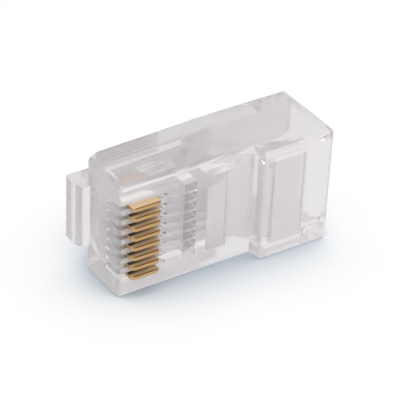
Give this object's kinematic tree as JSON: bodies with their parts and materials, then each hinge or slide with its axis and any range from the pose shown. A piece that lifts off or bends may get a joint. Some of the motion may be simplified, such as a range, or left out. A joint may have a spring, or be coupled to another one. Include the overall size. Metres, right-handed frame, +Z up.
{
  "type": "modular plug",
  "caption": "Clear modular plug for round network cable: stepped moulded housing, blade contacts in open slots, sprung latch and two strain-relief bars.",
  "frame": {"origin": "middle of the plug's length, 4 mm in from the flat latch side, on the narrow side face that the plug stands on", "axes": "+X from the nose towards the cable, +Y out of the latch side (contacts face -Y), +Z up out of the narrow side that it stands on"},
  "size_m": [0.0225, 0.0131, 0.0117],
  "materials": {
    "clear_polycarbonate": "clear moulded polycarbonate, slightly milky, gloss",
    "gold_plating": "gold-plated phosphor bronze, satin"
  },
  "bodies": {
    "housing_body": {"housing": "clear_polycarbonate"},
    "latch": {"latch_tab": "clear_polycarbonate"},
    "contact_1": {"contact_1": "gold_plating"},
    "contact_2": {"contact_2": "gold_plating"},
    "contact_3": {"contact_3": "gold_plating"},
    "contact_4": {"contact_4": "gold_plating"},
    "contact_5": {"contact_5": "gold_plating"},
    "contact_6": {"contact_6": "gold_plating"},
    "contact_7": {"contact_7": "gold_plating"},
    "contact_8": {"contact_8": "gold_plating"},
    "conductor_bar": {"conductor_clamp": "clear_polycarbonate"},
    "jacket_bar": {"jacket_clamp": "clear_polycarbonate"}
  },
  "joints": [
    {"name": "latch_flex", "type": "hinge", "parent": "housing_body", "child": "latch", "pos_m": [-0.00918, 0.0042, 0.00584], "axis": [0, 0, -1], "range_deg": [0, 15], "stiffness_Nm_per_rad": 0.3},
    {"name": "contact_1_crimp", "type": "slide", "parent": "housing_body", "child": "contact_1", "axis": [0, 1, 0], "range_m": [0, 0.00146]},
    {"name": "contact_2_crimp", "type": "slide", "parent": "housing_body", "child": "contact_2", "axis": [0, 1, 0], "range_m": [0, 0.00146]},
    {"name": "contact_3_crimp", "type": "slide", "parent": "housing_body", "child": "contact_3", "axis": [0, 1, 0], "range_m": [0, 0.00146]},
    {"name": "contact_4_crimp", "type": "slide", "parent": "housing_body", "child": "contact_4", "axis": [0, 1, 0], "range_m": [0, 0.00146]},
    {"name": "contact_5_crimp", "type": "slide", "parent": "housing_body", "child": "contact_5", "axis": [0, 1, 0], "range_m": [0, 0.00146]},
    {"name": "contact_6_crimp", "type": "slide", "parent": "housing_body", "child": "contact_6", "axis": [0, 1, 0], "range_m": [0, 0.00146]},
    {"name": "contact_7_crimp", "type": "slide", "parent": "housing_body", "child": "contact_7", "axis": [0, 1, 0], "range_m": [0, 0.00146]},
    {"name": "contact_8_crimp", "type": "slide", "parent": "housing_body", "child": "contact_8", "axis": [0, 1, 0], "range_m": [0, 0.00146]},
    {"name": "conductor_clamp_bite", "type": "hinge", "parent": "housing_body", "child": "conductor_bar", "pos_m": [0.00026, -0.00214, 0.00584], "axis": [0, 0, -1], "range_deg": [0, 20]},
    {"name": "jacket_clamp_bite", "type": "hinge", "parent": "housing_body", "child": "jacket_bar", "pos_m": [0.00756, -0.00354, 0.00584], "axis": [0, 0, -1], "range_deg": [0, 20]}
  ],
  "couplings": [
    {"joint": "contact_2_crimp", "follows": "contact_1_crimp", "ratio": 1},
    {"joint": "contact_3_crimp", "follows": "contact_1_crimp", "ratio": 1},
    {"joint": "contact_4_crimp", "follows": "contact_1_crimp", "ratio": 1},
    {"joint": "contact_5_crimp", "follows": "contact_1_crimp", "ratio": 1},
    {"joint": "contact_6_crimp", "follows": "contact_1_crimp", "ratio": 1},
    {"joint": "contact_7_crimp", "follows": "contact_1_crimp", "ratio": 1},
    {"joint": "contact_8_crimp", "follows": "contact_1_crimp", "ratio": 1}
  ]
}
